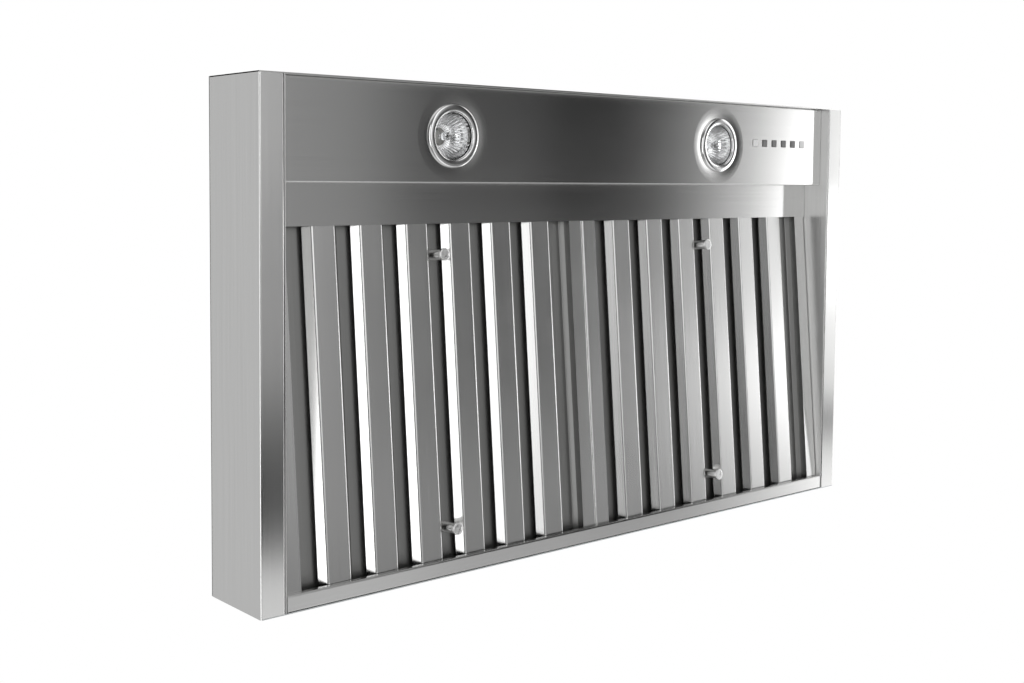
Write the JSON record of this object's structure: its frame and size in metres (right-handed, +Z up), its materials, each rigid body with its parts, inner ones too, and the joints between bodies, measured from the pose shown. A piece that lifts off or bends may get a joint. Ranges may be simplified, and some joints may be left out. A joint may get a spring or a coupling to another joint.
{
  "type": "pyramid range hood",
  "caption": "Wall-mounted pyramid range hood: folded steel rim, slotted baffle filters, recessed round lamps, push buttons, twin-inlet blower and a round duct collar with a damper.",
  "frame": {"origin": "middle of the rear panel's lower edge: on the wall plane, in the plane of the rim's underside", "axes": "+X to the right of someone facing the wall, +Y into the wall, +Z up along the duct"},
  "size_m": [0.914, 0.521, 0.3895],
  "materials": {
    "brushed_steel": "brushed",
    "filter_steel": "fine brushed",
    "galvanised_steel": "galvanised",
    "polished_trim": "polished",
    "plated_steel": "zinc plated",
    "turned_aluminium": "turned",
    "reflector_coating": "faceted mirror",
    "lamp_glass": "clear",
    "ceramic": "matt ceramic",
    "button_plastic": "satin",
    "white_plastic": "moulded",
    "black_plastic": "moulded",
    "circuit_board": "solder mask",
    "motor_enamel": "satin paint"
  },
  "bodies": {
    "hood": {"blower_capacitor": "white_plastic", "blower_housing": "galvanised_steel", "blower_motor": "motor_enamel", "board_carrier": "white_plastic", "cable_gland": "black_plastic", "collar_screws": "plated_steel", "compartment_cover": "galvanised_steel", "control_board": "circuit_board", "damper_pin": "plated_steel", "duct_collar": "galvanised_steel", "filter_ledge": "brushed_steel", "front_panel": "brushed_steel", "grease_rail": "brushed_steel", "lamp_spring_clips": "plated_steel", "lamp_transformer": "black_plastic", "left_inlet_ring": "galvanised_steel", "left_lamp_capsule": "lamp_glass", "left_lamp_lens": "lamp_glass", "left_lamp_reflector": "reflector_coating", "left_lamp_ring": "polished_trim", "left_lamp_socket": "ceramic", "left_side_liner": "brushed_steel", "left_side_panel": "brushed_steel", "light_panel": "brushed_steel", "motor_bracket": "galvanised_steel", "pyramid_shell": "brushed_steel", "rear_panel": "galvanised_steel", "right_inlet_ring": "galvanised_steel", "right_lamp_capsule": "lamp_glass", "right_lamp_lens": "lamp_glass", "right_lamp_reflector": "reflector_coating", "right_lamp_ring": "polished_trim", "right_lamp_socket": "ceramic", "right_side_liner": "brushed_steel", "right_side_panel": "brushed_steel", "rim_screws": "plated_steel", "tact_switches": "black_plastic", "terminal_block": "white_plastic", "top_plate": "galvanised_steel", "wiring_box": "galvanised_steel", "wiring_box_lid": "galvanised_steel"},
    "left_filter": {"left_filter_frame": "filter_steel", "left_filter_knobs": "turned_aluminium", "left_front_baffles": "filter_steel", "left_rear_baffles": "filter_steel"},
    "right_filter": {"right_filter_frame": "filter_steel", "right_filter_knobs": "turned_aluminium", "right_front_baffles": "filter_steel", "right_rear_baffles": "filter_steel"},
    "front_flap": {"front_damper_flap": "galvanised_steel"},
    "fan_wheel": {"impeller": "galvanised_steel", "motor_shaft": "plated_steel"},
    "push_button_1": {"push_button_1": "button_plastic"},
    "push_button_2": {"push_button_2": "button_plastic"},
    "push_button_3": {"push_button_3": "button_plastic"},
    "push_button_4": {"push_button_4": "button_plastic"},
    "push_button_5": {"push_button_5": "button_plastic"},
    "push_button_6": {"push_button_6": "button_plastic"},
    "rear_flap": {"rear_damper_flap": "galvanised_steel"}
  },
  "joints": [
    {"name": "left_filter_slide", "type": "slide", "parent": "hood", "child": "left_filter", "axis": [0, -0.9963, 0.0859], "range_m": [0, 0.016]},
    {"name": "right_filter_slide", "type": "slide", "parent": "hood", "child": "right_filter", "axis": [0, -0.9963, 0.0859], "range_m": [0, 0.016]},
    {"name": "button_1_press", "type": "slide", "parent": "hood", "child": "push_button_1", "axis": [0, 0, 1], "range_m": [0, 0.0008], "stiffness_N_per_m": 1500, "springref_m": -0.0004},
    {"name": "button_2_press", "type": "slide", "parent": "hood", "child": "push_button_2", "axis": [0, 0, 1], "range_m": [0, 0.0008], "stiffness_N_per_m": 1500, "springref_m": -0.0004},
    {"name": "button_3_press", "type": "slide", "parent": "hood", "child": "push_button_3", "axis": [0, 0, 1], "range_m": [0, 0.0008], "stiffness_N_per_m": 1500, "springref_m": -0.0004},
    {"name": "button_4_press", "type": "slide", "parent": "hood", "child": "push_button_4", "axis": [0, 0, 1], "range_m": [0, 0.0008], "stiffness_N_per_m": 1500, "springref_m": -0.0004},
    {"name": "button_5_press", "type": "slide", "parent": "hood", "child": "push_button_5", "axis": [0, 0, 1], "range_m": [0, 0.0008], "stiffness_N_per_m": 1500, "springref_m": -0.0004},
    {"name": "button_6_press", "type": "slide", "parent": "hood", "child": "push_button_6", "axis": [0, 0, 1], "range_m": [0, 0.0008], "stiffness_N_per_m": 1500, "springref_m": -0.0004},
    {"name": "front_flap_hinge", "type": "hinge", "parent": "hood", "child": "front_flap", "pos_m": [0, -0.148, 0.3475], "axis": [-1, 0, 0], "range_deg": [0, 78]},
    {"name": "rear_flap_hinge", "type": "hinge", "parent": "hood", "child": "rear_flap", "pos_m": [0, -0.148, 0.3475], "axis": [1, 0, 0], "range_deg": [0, 78]},
    {"name": "fan_spin", "type": "hinge", "parent": "hood", "child": "fan_wheel", "pos_m": [0, -0.095, 0.198], "axis": [1, 0, 0], "continuous": true}
  ]
}
